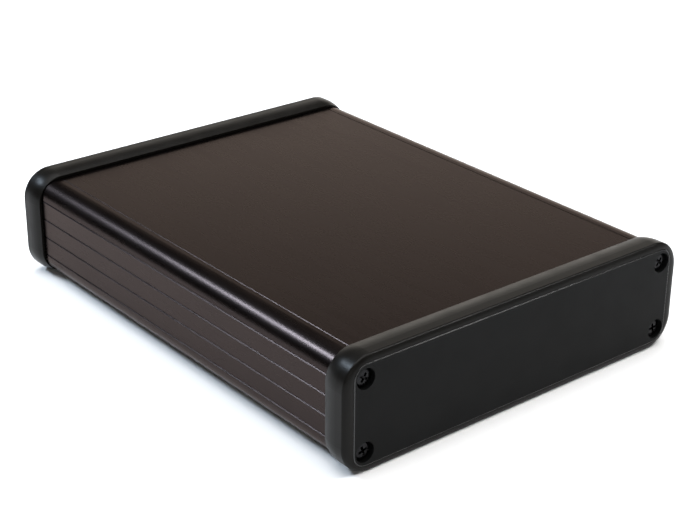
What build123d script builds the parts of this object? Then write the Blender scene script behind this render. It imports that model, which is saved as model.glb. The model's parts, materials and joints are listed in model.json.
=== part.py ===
from build123d import *
import os
from math import cos, radians, sin, sqrt

# A PC-linked logic analyzer in a slide-together extruded aluminium case, in millimetres.
#
# The case is a U-shaped extrusion. A cover plate slides into grooves along its open top, the circuit
# board slides into card guides inside, and at each end a moulded bezel holds an end panel that four
# screws clamp to the extrusion. The front end is blank and every connector is on the rear panel.
#
# Frame: +X to the right seen from the front, +Y from the blank front end to the connector end, +Z up.
# The origin is under the middle of the whole object, on the surface that it stands on.

# ------------------------------------------------------------------ case: driving dimensions
case_length = 161.8  # over the outer faces of the two end panels
section_width = 121.5
section_height = 30.5
section_corner = 6.0
side_wall = 1.7
floor_wall = 1.8
side_groove_count = 4
side_groove_margin = 6.08  # from the section's top to the first groove, and from its underside to the last
side_groove_lift = 0.5  # the whole set of grooves stands this far above the middle
side_groove_width = 0.6  # across a V groove, which is half as deep

cover_edge_inset = 7.55  # from each side of the section to the cover plate's edge
cover_thickness = 1.7
cover_gap = 0.16  # along each visible joint between the cover plate and the case
tongue_reach = 1.9
tongue_root = 2.0  # how far each tongue runs in under the plate
tongue_thickness = 1.05
lip_thickness = 1.3
shelf_reach = 1.6  # of the shelf under each tongue, inwards of the cover plate's edge
shelf_thickness = 1.0
slot_wall = 1.2  # outside each slot
slide_clearance = 0.12  # between parts that slide along each other

bezel_crest = 1.85  # how far the bezel stands outside the section
bezel_corner = 9.1  # radius round each corner at the crest, rounder than the section's own corner
bezel_depth = 8.9
crest_start = 1.25  # the crest's flat, measured back from the end face
crest_end = 3.8
bezel_edge = 0.9  # how far the bezel stands out at its inner edge
bezel_lip_setback = 0.15
bezel_lip_reach = 1.6
web_thickness = 1.2
web_rim_x = 9.75  # from each side of the section to the window through the web
web_rim_z = 3.25
web_window_corner = 2.0
panel_inset_x = 1.4  # from each side of the section to the panel's edge
panel_inset_z = 0.3
panel_corner = 4.2
panel_thickness = 3.2
panel_edge_chamfer = 0.3
panel_clearance = 0.08

screw_inset_x = 5.15  # from each side of the section to the screws' middles
screw_inset_z = 4.53
screw_radius = 1.4
screw_length = 12.0  # under the head
screw_tip = 1.6
screw_head_radius = 2.6
screw_head_height = 1.5
screw_head_crown = 0.45
screw_recess_width = 0.75
screw_recess_length = 2.9
screw_recess_depth = 1.0
screw_hole_gap = 0.3  # round a screw in the panel and the web
screw_channel_gap = 0.08
screw_boss_wall = 1.42
counterbore_gap = 0.4  # round a screw's head
counterbore_floor = 0.8  # what each counterbore leaves of the panel's thickness

# ------------------------------------------------------------------ circuit board
board_thickness = 1.6
board_rise = 8.15  # underside of the board above the underside of the section
board_side_gap = 0.45
board_front_gap = 1.2
board_tongue_gap = 1.5  # each side of the board's narrower end, in the rear bezel's window
guide_reach = 2.0
guide_thickness = 1.0
upper_guide_rise = 9.0

# ------------------------------------------------------------------ rear panel
rear_reach = 10.5  # the coaxial socket stands furthest out of the panel
connector_gap = 0.3  # round each connector in its cut-out
running_clearance = 0.08  # between a turning or pressed part and its hole
fit_gap = 0.05  # between pieces that are pressed or glued together

switch_x = -45.0
switch_rise = 7.1  # of its middle above the board
switch_width = 8.4
switch_height = 12.8
switch_depth = 13.5
switch_flange_width = 10.2
switch_flange_height = 15.2
switch_flange_thickness = 1.5
switch_flange_corner = 0.8
switch_flange_edge = 0.5
rocker_width = 5.8
rocker_side_gap = 0.1
rocker_radius = 5.3  # of the rocker's two ends about its pivot
rocker_end_gap = 0.12
rocker_tilt = 12.0  # degrees each side of the middle
rocker_face_angle = 35.0
rocker_face_dip = 1.7  # the middle of the rocker's face above its pivot
rocker_heel_angle = 10.0
rocker_hub_depth = 2.6
rocker_pivot_depth = 1.6  # below the flange's face
rocker_pivot_radius = 0.8
rocker_pivot_reach = 0.7
rocker_well = 3.6  # depth of the well below the pivot
blade_width = 3.8
blade_thickness = 0.8
blade_length = 6.0
blade_spacing = 7.2
wire_radius = 0.65
wire_bend = 2.0
wire_run = 3.0  # of the lower wire behind its blade; the upper one runs twice as far

jack_x = -34.4
jack_width = 9.0
jack_height = 11.0
jack_depth = 14.4
jack_reach = 0.4
jack_edge = 0.4
jack_bore_radius = 3.2
jack_bore_depth = 9.5
jack_pin_radius = 1.0
jack_pin_setback = 0.9

coax_x = -21.6
coax_rise = 7.0  # of its axis above the board
coax_block_width = 14.0
coax_block_depth = 12.5
coax_block_edge = 0.6
coax_thread_radius = 5.0
coax_thread_reach = 3.9
coax_barrel_radius = 4.8
coax_bore_radius = 4.05
coax_bore_depth = 8.2
coax_mouth_edge = 0.3
coax_lug_radius = 1.0
coax_lug_span = 11.1
coax_lug_setback = 4.3
coax_insulator_radius = 2.4
coax_insulator_setback = 3.0
coax_insulator_length = 14.0
coax_contact_radius = 1.0
coax_contact_bore = 0.68
coax_contact_setback = 3.6
coax_contact_length = 12.0
coax_nut_across = 13.0
coax_nut_thickness = 2.3
coax_nut_edge = 0.35
coax_washer_radius = 7.2
coax_washer_thickness = 0.8

button_x = -11.0
button_rise = 3.9
button_radius = 2.0
button_reach = 2.2
button_round = 0.5
button_flange_radius = 2.7
button_flange_thickness = 0.6
button_flange_gap = 0.2
button_travel = 1.0
plunger_radius = 1.7
plunger_length = 1.5  # inside the switch body
button_body_width = 6.0
button_body_height = 7.0
button_body_depth = 4.2

usb_x = -1.6
usb_width = 12.0
usb_height = 10.8
usb_depth = 16.4
usb_reach = 0.6
usb_shell_wall = 0.4
usb_port_width = 8.5
usb_port_height = 7.8
usb_port_chamfer = 1.7
usb_port_depth = 9.2
usb_tongue_width = 5.6
usb_tongue_height = 3.2
usb_tongue_length = 8.4
usb_contact_width = 0.9
usb_contact_thickness = 0.25
usb_contact_spacing = 2.5
usb_contact_length = 6.4

led_x = 7.1
led_radius = 1.5
led_pitch = 4.0
led_count = 3
led_first_rise = 2.6
led_barrel_reach = -0.6  # the dome starts this far inside the panel's face
led_holder_width = 4.2
led_holder_depth = 5.6
led_holder_margin = 2.3

header_x = 30.4
header_rise = 0.15
header_reach = 5.0
header_depth = 12.0
header_floor = 3.0
header_wall = 1.0
shroud_width = 33.0
shroud_height = 8.9
ear_width = 3.6
ear_thickness = 2.0
ear_depth = 6.0
key_width = 4.5
header_columns = 10
header_rows = 2
pin_pitch = 2.54
pin_width = 0.64
pin_reach = 6.0  # above the header's floor
latch_pivot_offset = 1.8  # from the end of the shroud
latch_pivot_reach = 1.5  # from the panel's face
latch_pivot_radius = 0.9
latch_end_gap = 0.2
latch_width = 2.4
latch_length = 7.5
latch_hook = 1.4
latch_hook_start = 4.4
latch_foot = 3.0
latch_hub_radius = 1.6

# ------------------------------------------------------------------ derived places
front_y = -(case_length + rear_reach) / 2
rear_y = front_y + case_length
mid_z = bezel_crest + section_height / 2
cover_width = section_width - 2 * cover_edge_inset
web_window_width = section_width - 2 * web_rim_x
web_window_height = section_height - 2 * web_rim_z
panel_width = section_width - 2 * panel_inset_x
panel_height = section_height - 2 * panel_inset_z
screw_hole_radius = screw_radius + screw_hole_gap
screw_channel_radius = screw_radius + screw_channel_gap
counterbore_radius = screw_head_radius + counterbore_gap
counterbore_depth = panel_thickness - counterbore_floor
board_height = bezel_crest + board_rise
board_tongue_width = web_window_width - 2 * board_tongue_gap
section_top = bezel_crest + section_height
end_stack = panel_thickness + web_thickness
section_front_y = front_y + end_stack
section_rear_y = rear_y - end_stack
section_length = section_rear_y - section_front_y
inner_half_width = section_width / 2 - side_wall
tongue_slot = tongue_thickness + 2 * slide_clearance
tongue_slot_floor = section_top - lip_thickness - tongue_slot
lip_inner = cover_width / 2 + cover_gap
block_inner = lip_inner - shelf_reach
block_outer = cover_width / 2 + tongue_reach + slide_clearance + slot_wall
block_floor = tongue_slot_floor - shelf_thickness
block_top = section_top - side_wall + fit_gap
board_top = board_height + board_thickness
board_width = 2 * (inner_half_width - board_side_gap)
board_front_y = section_front_y + board_front_gap
board_shoulder_y = section_rear_y - slide_clearance
board_rear_y = rear_y - panel_thickness - slide_clearance
board_middle_y = (board_front_y + board_rear_y) / 2
switch_z = board_top + switch_rise
jack_z = board_top + jack_height / 2
usb_z = board_top + usb_height / 2
coax_z = board_top + coax_rise
button_z = board_top + button_rise
header_z = board_top + header_rise + shroud_height / 2
ear_gap = shroud_height - 2 * ear_thickness
led_heights = [board_top + led_first_rise + i * led_pitch for i in range(led_count)]

# each end's plane lies on the end panel's face, looks outwards and has +Z as its own y
front_end = Plane(origin=(0, front_y, mid_z), x_dir=(1, 0, 0), z_dir=(0, -1, 0))
rear_end = Plane(origin=(0, rear_y, mid_z), x_dir=(-1, 0, 0), z_dir=(0, 1, 0))
screw_places = GridLocations(
    section_width - 2 * screw_inset_x, section_height - 2 * screw_inset_z, 2, 2
).local_locations
standing = (Align.CENTER, Align.CENTER, Align.MIN)
hanging = (Align.CENTER, Align.CENTER, Align.MAX)


def across(y):
    """The plane across the case at y, looking towards the front, with +X and +Z as its axes."""
    return Plane(origin=(0, y, 0), x_dir=(1, 0, 0), z_dir=(0, -1, 0))


def outward(x, z, reach=0.0):
    """A plane on the rear panel at x and z, standing reach out of its face and looking outwards."""
    return Plane(origin=(x, rear_y + reach, z), x_dir=(-1, 0, 0), z_dir=(0, 1, 0))


def on_board(x, depth):
    """A place on the board at x, depth in from the rear panel's face."""
    return (x, rear_y - depth)


def write(builder, name):
    """Labels a finished piece and writes it."""
    builder.part.label = name
    export_step(builder.part, f"parts/{name}.step")


os.makedirs("parts", exist_ok=True)

# ------------------------------------------------------------------ case extrusion
groove_square = side_groove_width / sqrt(2)
groove_pitch = (section_height - 2 * side_groove_margin) / (side_groove_count - 1)
slot_half = board_thickness / 2 + slide_clearance

with BuildPart() as case_extrusion:
    with BuildSketch(across(section_rear_y)):
        with Locations((0, mid_z)):
            RectangleRounded(section_width, section_height, section_corner)
        with Locations((0, mid_z + (floor_wall - side_wall) / 2)):
            RectangleRounded(
                2 * inner_half_width,
                section_height - floor_wall - side_wall,
                section_corner - side_wall,
                mode=Mode.SUBTRACT,
            )
        with Locations((0, mid_z)):
            with Locations(*screw_places):
                Circle(screw_channel_radius + screw_boss_wall)
        for side in (-1, 1):
            # two card guides a side; the board sits in the lower pair
            guide_x = side * (inner_half_width - guide_reach / 2)
            for slot_z in (board_height, board_height + upper_guide_rise):
                slot_middle = slot_z + board_thickness / 2
                rib_offset = slot_half + guide_thickness / 2
                with Locations((guide_x, slot_middle - rib_offset), (guide_x, slot_middle + rib_offset)):
                    Rectangle(guide_reach + fit_gap, guide_thickness)
            # the block that holds the cover plate's slot, with the shelf under it
            with Locations((side * (block_inner + block_outer) / 2, (block_floor + block_top) / 2)):
                Rectangle(block_outer - block_inner, block_top - block_floor)
        with Locations((0, section_top)):
            Rectangle(2 * lip_inner, 2 * (section_top - tongue_slot_floor), mode=Mode.SUBTRACT)
        with Locations((0, tongue_slot_floor + tongue_slot / 2)):
            Rectangle(cover_width + 2 * (tongue_reach + slide_clearance), tongue_slot, mode=Mode.SUBTRACT)
        with Locations((0, mid_z)):
            with Locations(*screw_places):
                Circle(screw_channel_radius, mode=Mode.SUBTRACT)
        with Locations((0, mid_z + side_groove_lift)):
            with GridLocations(section_width, groove_pitch, 2, side_groove_count):
                Rectangle(groove_square, groove_square, rotation=45, mode=Mode.SUBTRACT)
    extrude(amount=section_length)
write(case_extrusion, "case_extrusion")

# ------------------------------------------------------------------ cover plate
with BuildPart() as cover_plate:
    with BuildSketch(across(section_rear_y - slide_clearance)):
        with Locations((0, section_top - cover_thickness / 2)):
            Rectangle(cover_width, cover_thickness)
        for side in (-1, 1):
            tongue_x = side * (cover_width + tongue_reach - tongue_root) / 2
            with Locations((tongue_x, tongue_slot_floor + tongue_slot / 2)):
                Rectangle(tongue_reach + tongue_root, tongue_thickness)
    extrude(amount=section_length - 2 * slide_clearance)
    chamfer(cover_plate.faces().sort_by(Axis.Z)[-1].edges().filter_by(Axis.Y), cover_gap)
write(cover_plate, "cover_plate")


# ------------------------------------------------------------------ end bezels
def make_bezel(name, end):
    """A moulded frame: a rounded roll and skirt round the end of the section, and a web behind the panel."""
    half_width = section_width / 2
    half_height = section_height / 2
    # on this plane x is outwards from the section and y is back from the end face
    top_middle = end.from_local_coords((0, half_height, 0))
    roll_plane = Plane(origin=top_middle, x_dir=end.y_dir, z_dir=-end.x_dir)
    inset = bezel_lip_reach - fit_gap
    with BuildPart() as bezel:
        with BuildLine(end) as half_outline:
            FilletPolyline(
                (0, half_height),
                (half_width, half_height),
                (half_width, -half_height),
                (0, -half_height),
                radius=bezel_corner - bezel_crest,
            )
        with BuildSketch(roll_plane):
            with BuildLine():
                crest = Line((bezel_crest, crest_end), (bezel_crest, crest_start))
                EllipticalCenterArc(
                    (-panel_inset_z, crest_start),
                    bezel_crest + panel_inset_z,
                    crest_start - bezel_lip_setback,
                    start_angle=270,
                    arc_size=90,
                )
                Polyline(
                    (-panel_inset_z, bezel_lip_setback),
                    (-bezel_lip_reach, bezel_lip_setback),
                    (-bezel_lip_reach, bezel_depth),
                    (bezel_edge, bezel_depth),
                )
                TangentArc(crest @ 0, (bezel_edge, bezel_depth), tangent=(0, 1))
            make_face()
        sweep(path=half_outline.line)
        mirror(about=Plane.YZ)
        with BuildSketch(end.offset(-panel_thickness)):
            RectangleRounded(
                section_width - 2 * inset, section_height - 2 * inset, bezel_corner - bezel_crest - inset
            )
            RectangleRounded(web_window_width, web_window_height, web_window_corner, mode=Mode.SUBTRACT)
            with Locations(*screw_places):
                Circle(screw_hole_radius, mode=Mode.SUBTRACT)
        extrude(amount=-web_thickness)
        with BuildSketch(end.offset(-end_stack)):
            RectangleRounded(
                section_width + 2 * slide_clearance,
                section_height + 2 * slide_clearance,
                section_corner + slide_clearance,
            )
        extrude(amount=end_stack - bezel_depth, mode=Mode.SUBTRACT)
        with BuildSketch(end):
            RectangleRounded(
                panel_width + 2 * panel_clearance,
                panel_height + 2 * panel_clearance,
                panel_corner + panel_clearance,
            )
        extrude(amount=-panel_thickness, mode=Mode.SUBTRACT)
    write(bezel, name)


make_bezel("front_bezel", front_end)
make_bezel("rear_bezel", rear_end)


# ------------------------------------------------------------------ end panels
def make_panel(name, end, rectangles, circles):
    """A flat moulded panel with four counterbored screw holes and the cut-outs for its connectors.

    A rectangle is (x, z, width, height) and a circle is (x, z, radius), with z above the ground.
    """
    with BuildPart() as panel:
        with BuildSketch(end):
            RectangleRounded(panel_width, panel_height, panel_corner)
        extrude(amount=-panel_thickness)
        chamfer(panel.faces().sort_by(Axis(end.origin, end.z_dir))[-1].edges(), panel_edge_chamfer)
        with BuildSketch(end):
            with Locations(*screw_places):
                Circle(counterbore_radius)
        extrude(amount=-counterbore_depth, mode=Mode.SUBTRACT)
        with BuildSketch(end):
            with Locations(*screw_places):
                Circle(screw_hole_radius)
            for x, z, width, height in rectangles:
                with Locations((x * end.x_dir.X, z - mid_z)):
                    Rectangle(width + 2 * connector_gap, height + 2 * connector_gap)
            for x, z, radius in circles:
                with Locations((x * end.x_dir.X, z - mid_z)):
                    Circle(radius)
        extrude(amount=-panel_thickness, mode=Mode.SUBTRACT)
    write(panel, name)


rear_rectangles = [
    (switch_x, switch_z, switch_width, switch_height),
    (jack_x, jack_z, jack_width, jack_height),
    (usb_x, usb_z, usb_width, usb_height),
    (header_x, header_z, shroud_width + 2 * ear_width, shroud_height),
]
rear_circles = [
    (coax_x, coax_z, coax_thread_radius + connector_gap / 2),
    (button_x, button_z, button_radius + running_clearance),
]
rear_circles += [(led_x, z, led_radius + connector_gap / 2) for z in led_heights]
make_panel("front_panel", front_end, [], [])
make_panel("rear_panel", rear_end, rear_rectangles, rear_circles)

# ------------------------------------------------------------------ case screws
crown_radius = (screw_head_radius**2 + screw_head_crown**2) / (2 * screw_head_crown)

with BuildPart() as case_screw:
    Cylinder(screw_head_radius, screw_head_height, align=standing)
    with Locations((0, 0, screw_head_height - crown_radius)):
        Sphere(crown_radius, mode=Mode.INTERSECT)
    Cylinder(screw_radius, screw_length, align=hanging)
    chamfer(case_screw.edges().sort_by(Axis.Z)[0], screw_tip, screw_radius * 2 / 3)
    with BuildSketch(Plane.XY.offset(screw_head_height)):
        Rectangle(screw_recess_length, screw_recess_width)
        Rectangle(screw_recess_width, screw_recess_length)
    extrude(amount=-screw_recess_depth, mode=Mode.SUBTRACT)


def make_screws(name, end):
    """Four pan-head cross-recess screws, seated in the panel's counterbores."""
    with BuildPart(end.offset(-counterbore_depth)) as screws:
        with Locations(*screw_places):
            add(case_screw.part)
    write(screws, name)


make_screws("front_screws", front_end)
make_screws("rear_screws", rear_end)

# ------------------------------------------------------------------ main board
with BuildPart() as main_board:
    with BuildSketch(Plane.XY.offset(board_height)):
        with Locations((0, (board_front_y + board_shoulder_y) / 2)):
            Rectangle(board_width, board_shoulder_y - board_front_y)
        with Locations((0, board_middle_y)):
            Rectangle(board_tongue_width, board_rear_y - board_front_y)
    extrude(amount=board_thickness)
write(main_board, "main_board")

# ------------------------------------------------------------------ chips on the board
chip_standoff = 0.1
chip_edge = 0.12
lead_thickness = 0.15


def make_chips(name, places, width, length, height):
    """Moulded packages standing on the board, with a round first-pin mark pressed into each."""
    mark_radius = min(width, length) / 16
    with BuildPart(Plane.XY.offset(board_top + chip_standoff)) as chips:
        with Locations(*places):
            Box(width, length, height, align=standing)
    chamfer_edges = chips.faces().group_by(Axis.Z)[-1].edges()
    with chips:
        chamfer(chamfer_edges, chip_edge)
        with BuildSketch(Plane.XY.offset(board_top + chip_standoff + height)):
            for x, y in places:
                with Locations((x - width / 2 + 3 * mark_radius, y - length / 2 + 3 * mark_radius)):
                    Circle(mark_radius)
        extrude(amount=-chip_edge, mode=Mode.SUBTRACT)
    write(chips, name)


def make_leads(name, places, width, height, reach, pitch, lead_width, counts):
    """Gull-wing leads round chips: counts gives how many on the x sides and how many on the y sides.

    width is the package's size across each pair of sides, and reach how far a lead stands out of it.
    """
    shoulder = height / 2 + chip_standoff
    bend = reach / 3
    with BuildPart() as lead:
        with BuildSketch(Plane.XZ):
            with BuildLine():
                Polyline(
                    (fit_gap, shoulder),
                    (bend, shoulder),
                    (bend + lead_thickness, lead_thickness),
                    (reach, lead_thickness),
                    (reach, 0),
                    (bend, 0),
                    (bend - lead_thickness, shoulder - lead_thickness),
                    (fit_gap, shoulder - lead_thickness),
                    close=True,
                )
            make_face()
        extrude(amount=lead_width / 2, both=True)
    lead_places = []
    for x, y in places:
        for quarter in range(4):
            side_of_chip = Location((x, y, 0), (0, 0, 90 * quarter))
            count = counts[quarter % 2]
            for i in range(count):
                along = (i - (count - 1) / 2) * pitch
                lead_places.append(side_of_chip * Location((width[quarter % 2] / 2, along, 0)))
    with BuildPart(Plane.XY.offset(board_top)) as leads:
        with Locations(*lead_places):
            add(lead.part)
    write(leads, name)


logic_chip_place = on_board(18.0, 89.0)
logic_chip_size = 20.0
logic_chip_height = 1.4
logic_chip_leads = 36
logic_chip_pitch = 0.5
make_chips("logic_chip", [logic_chip_place], logic_chip_size, logic_chip_size, logic_chip_height)
make_leads(
    "logic_chip_leads",
    [logic_chip_place],
    (logic_chip_size, logic_chip_size),
    logic_chip_height,
    reach=1.0,
    pitch=logic_chip_pitch,
    lead_width=0.22,
    counts=(logic_chip_leads, logic_chip_leads),
)

memory_width = 22.2
memory_length = 10.16
memory_height = 1.0
memory_places = [on_board(-15.0, 79.0), on_board(-15.0, 99.0)]
make_chips("capture_memory", memory_places, memory_width, memory_length, memory_height)
make_leads(
    "capture_memory_leads",
    memory_places,
    (memory_width, memory_length),
    memory_height,
    reach=0.8,
    pitch=0.8,
    lead_width=0.35,
    counts=(0, 27),
)

link_chip_place = [on_board(-4.0, 37.0)]
link_chip_height = 1.4
link_chip_size = 10.0
make_chips("usb_controller", link_chip_place, link_chip_size, link_chip_size, link_chip_height)
make_leads(
    "usb_controller_leads",
    link_chip_place,
    (link_chip_size, link_chip_size),
    link_chip_height,
    reach=1.0,
    pitch=0.65,
    lead_width=0.3,
    counts=(14, 14),
)

buffer_width = 7.5
buffer_length = 12.8
buffer_height = 2.3
buffer_pitch = 14.0
buffer_places = [on_board(header_x + i * buffer_pitch, 39.0) for i in (-1, 0, 1)]
make_chips("input_buffers", buffer_places, buffer_width, buffer_length, buffer_height)
make_leads(
    "input_buffer_leads",
    buffer_places,
    (buffer_width, buffer_length),
    buffer_height,
    reach=1.4,
    pitch=1.27,
    lead_width=0.41,
    counts=(10, 0),
)

flash_width = 3.9
flash_length = 4.9
flash_height = 1.5
flash_place = [on_board(44.0, 79.0)]
make_chips("configuration_flash", flash_place, flash_width, flash_length, flash_height)
make_leads(
    "configuration_flash_leads",
    flash_place,
    (flash_width, flash_length),
    flash_height,
    reach=1.05,
    pitch=1.27,
    lead_width=0.41,
    counts=(4, 0),
)

# ------------------------------------------------------------------ thermal pad and heatsink
thermal_pad_thickness = 0.5
thermal_pad_size = 18.0
heatsink_size = 23.0
heatsink_base = 2.0
heatsink_height = 8.0
heatsink_fins = 8
heatsink_fin_thickness = 1.0
pad_floor = board_top + chip_standoff + logic_chip_height
heatsink_floor = pad_floor + thermal_pad_thickness
heatsink_pitch = (heatsink_size - heatsink_fin_thickness) / (heatsink_fins - 1)

with BuildPart(Plane.XY.offset(pad_floor)) as thermal_pad:
    with Locations(logic_chip_place):
        Box(thermal_pad_size, thermal_pad_size, thermal_pad_thickness, align=standing)
write(thermal_pad, "thermal_pad")

with BuildPart(Plane.XY.offset(heatsink_floor)) as heatsink:
    with Locations(logic_chip_place):
        Box(heatsink_size, heatsink_size, heatsink_base, align=standing)
        with GridLocations(heatsink_pitch, 0, heatsink_fins, 1):
            Box(heatsink_fin_thickness, heatsink_size, heatsink_height, align=standing)
write(heatsink, "heatsink")


# ------------------------------------------------------------------ small parts on the board
def make_blocks(name, places, width, length, height, edge):
    """Equal blocks standing on the board, with their top edges taken off."""
    with BuildPart(Plane.XY.offset(board_top)) as blocks:
        with Locations(*places):
            Box(width, length, height, align=standing)
        chamfer(blocks.faces().group_by(Axis.Z)[-1].edges(), edge)
    write(blocks, name)


small_width = 1.25
small_length = 2.0
resistor_rows = 2
resistor_row_pitch = 3.2
resistor_depth = 24.0  # of the row nearer to the header
resistor_places = [
    on_board(
        header_x + (i - (header_columns - 1) / 2) * pin_pitch, resistor_depth + row * resistor_row_pitch
    )
    for row in range(resistor_rows)
    for i in range(header_columns)
]
make_blocks("termination_resistors", resistor_places, small_width, small_length, height=0.5, edge=0.05)

capacitor_ring = logic_chip_size / 2 + 3.4
capacitor_pitch = 4.2
capacitor_places = []
for side in (-1, 1):
    for i in (-2, -1, 0, 1, 2):
        along = i * capacitor_pitch
        capacitor_places.append((logic_chip_place[0] + side * capacitor_ring, logic_chip_place[1] + along))
        capacitor_places.append((logic_chip_place[0] + along, logic_chip_place[1] + side * capacitor_ring))
make_blocks("decoupling_capacitors", capacitor_places, small_width, small_length, height=1.0, edge=0.08)

make_blocks("reference_oscillator", [on_board(44.0, 91.0)], width=5.0, length=7.0, height=1.6, edge=0.3)
inductor_places = [on_board(-46.0, 61.0), on_board(-32.0, 61.0)]
make_blocks("power_inductors", inductor_places, width=7.3, length=7.3, height=4.0, edge=0.6)
make_blocks("input_fuse", [on_board(-33.0, 25.0)], width=3.2, length=4.5, height=1.0, edge=0.1)

crystal_width = 4.7
crystal_length = 11.0
crystal_height = 3.6
crystal_rim = 0.5
crystal_round = 0.5
crystal_place = on_board(-17.0, 37.0)

with BuildPart() as link_crystal:
    with BuildSketch(Plane.XY.offset(board_top)):
        with Locations(crystal_place):
            SlotOverall(crystal_length + 2 * crystal_rim, crystal_width + 2 * crystal_rim, rotation=90)
    extrude(amount=crystal_rim)
    with BuildSketch(Plane.XY.offset(board_top)):
        with Locations(crystal_place):
            SlotOverall(crystal_length, crystal_width, rotation=90)
    extrude(amount=crystal_height)
    fillet(link_crystal.faces().sort_by(Axis.Z)[-1].edges(), crystal_round)
write(link_crystal, "link_crystal")

# electrolytic cans on square bases
can_radius = 4.0
can_height = 9.6
can_round = 0.6
can_base_height = 1.2
can_base_size = 8.3
can_base_cut = 0.9
can_groove_radius = 0.45
can_groove_rise = 1.6
can_places = [on_board(-46.0, 43.0), on_board(-33.0, 43.0), on_board(-46.0, 85.0)]

with BuildPart() as capacitor_bases:
    with BuildSketch(Plane.XY.offset(board_top)):
        with Locations(*can_places):
            Rectangle(can_base_size, can_base_size)
    extrude(amount=can_base_height)
    chamfer(capacitor_bases.edges().filter_by(Axis.Z).group_by(Axis.X)[-1], can_base_cut)
write(capacitor_bases, "capacitor_bases")

with BuildPart() as can:
    Cylinder(can_radius, can_height, align=standing)
    fillet(can.faces().sort_by(Axis.Z)[-1].edges(), can_round)
    with Locations((0, 0, can_groove_rise)):
        Torus(can_radius, can_groove_radius, mode=Mode.SUBTRACT)

with BuildPart(Plane.XY.offset(board_top + can_base_height)) as bulk_capacitors:
    with Locations(*can_places):
        add(can.part)
write(bulk_capacitors, "bulk_capacitors")

# regulators with a heat tab and three legs
regulator_places = [on_board(-46.0, 74.5), on_board(-32.0, 74.5), on_board(-32.0, 87.0)]
regulator_width = 6.5
regulator_length = 6.1
regulator_height = 2.3
regulator_edge = 0.25
regulator_tab_thickness = 0.5
regulator_tab_reach = 1.4
regulator_tab_inset = 0.55
regulator_leg_width = 0.8
regulator_leg_pitch = 2.3
regulator_leg_reach = 2.4

with BuildPart(Plane.XY.offset(board_top + regulator_tab_thickness)) as regulators:
    with Locations(*regulator_places):
        Box(regulator_width, regulator_length, regulator_height - regulator_tab_thickness, align=standing)
    chamfer(regulators.faces().group_by(Axis.Z)[-1].edges(), regulator_edge)
write(regulators, "regulators")

with BuildPart(Plane.XY.offset(board_top)) as regulator_tabs:
    for x, y in regulator_places:
        with Locations((x, y - regulator_tab_reach / 2)):
            Box(
                regulator_width - 2 * regulator_tab_inset,
                regulator_length + regulator_tab_reach,
                regulator_tab_thickness,
                align=standing,
            )
        for i in (-1, 0, 1):
            leg_y = y + regulator_length / 2 + fit_gap
            with Locations((x + i * regulator_leg_pitch, leg_y + regulator_leg_reach / 2)):
                Box(regulator_leg_width, regulator_leg_reach, regulator_tab_thickness, align=standing)
write(regulator_tabs, "regulator_tabs")

# service header: a 2 x 5 pin strip
service_place = on_board(40.0, 127.0)
service_columns = 5
service_base_height = 2.5
service_pin_height = 8.5
service_pin_point = 0.15

with BuildPart(Plane.XY.offset(board_top)) as service_header_base:
    with Locations(service_place):
        Box(header_rows * pin_pitch, service_columns * pin_pitch, service_base_height, align=standing)
        with GridLocations(pin_pitch, pin_pitch, header_rows, service_columns):
            Box(
                pin_width + 2 * fit_gap,
                pin_width + 2 * fit_gap,
                service_base_height,
                align=standing,
                mode=Mode.SUBTRACT,
            )
write(service_header_base, "service_header_base")

with BuildPart(Plane.XY.offset(board_top)) as service_header_pins:
    with Locations(service_place):
        with GridLocations(pin_pitch, pin_pitch, header_rows, service_columns):
            Box(pin_width, pin_width, service_pin_height, align=standing)
    chamfer(service_header_pins.faces().group_by(Axis.Z)[-1].edges(), service_pin_point)
write(service_header_pins, "service_header_pins")

# ------------------------------------------------------------------ power switch
switch_face = switch_flange_thickness
pivot_reach = switch_face - rocker_pivot_depth
well_width = rocker_width + 2 * rocker_side_gap
well_height = 2 * (rocker_radius + rocker_end_gap)
pivot_span = rocker_width + 2 * (rocker_side_gap + rocker_pivot_reach)
pivot_point = (switch_x, rear_y + pivot_reach, switch_z)
pivot_plane = Plane(origin=pivot_point, x_dir=(0, 1, 0), z_dir=(1, 0, 0))

with BuildPart() as switch_housing:
    with BuildSketch(outward(switch_x, switch_z)):
        RectangleRounded(switch_flange_width, switch_flange_height, switch_flange_corner)
    extrude(amount=switch_flange_thickness)
    chamfer(switch_housing.faces().sort_by(Axis.Y)[-1].edges(), switch_flange_edge)
    with BuildSketch(outward(switch_x, switch_z)):
        Rectangle(switch_width, switch_height)
    extrude(amount=-switch_depth)
    with BuildSketch(outward(switch_x, switch_z, switch_face)):
        Rectangle(well_width, well_height)
    extrude(amount=-(rocker_pivot_depth + rocker_well), mode=Mode.SUBTRACT)
    with BuildSketch(pivot_plane):
        Circle(rocker_pivot_radius + fit_gap)
    extrude(amount=pivot_span / 2 + fit_gap, both=True, mode=Mode.SUBTRACT)
write(switch_housing, "switch_housing")

# the rocker at rest leans down to its off side
face_x = rocker_radius * sin(radians(rocker_face_angle))
face_y = rocker_radius * cos(radians(rocker_face_angle))
heel_x = -rocker_radius * sin(radians(rocker_heel_angle))
heel_y = rocker_radius * cos(radians(rocker_heel_angle))
rocker_lean = (0, cos(radians(rocker_tilt)), -sin(radians(rocker_tilt)))

with BuildPart() as power_rocker:
    with BuildSketch(Plane(origin=pivot_point, x_dir=rocker_lean, z_dir=(1, 0, 0))):
        with BuildLine():
            Polyline((face_x, -face_y), (rocker_face_dip, 0), (face_x, face_y))
            RadiusArc((face_x, face_y), (heel_x, heel_y), -rocker_radius)
            Polyline((heel_x, heel_y), (-rocker_hub_depth, 0), (heel_x, -heel_y))
            RadiusArc((heel_x, -heel_y), (face_x, -face_y), -rocker_radius)
        make_face()
    extrude(amount=rocker_width / 2, both=True)
    with BuildSketch(pivot_plane):
        Circle(rocker_pivot_radius)
    extrude(amount=pivot_span / 2, both=True)
write(power_rocker, "power_rocker")

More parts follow.
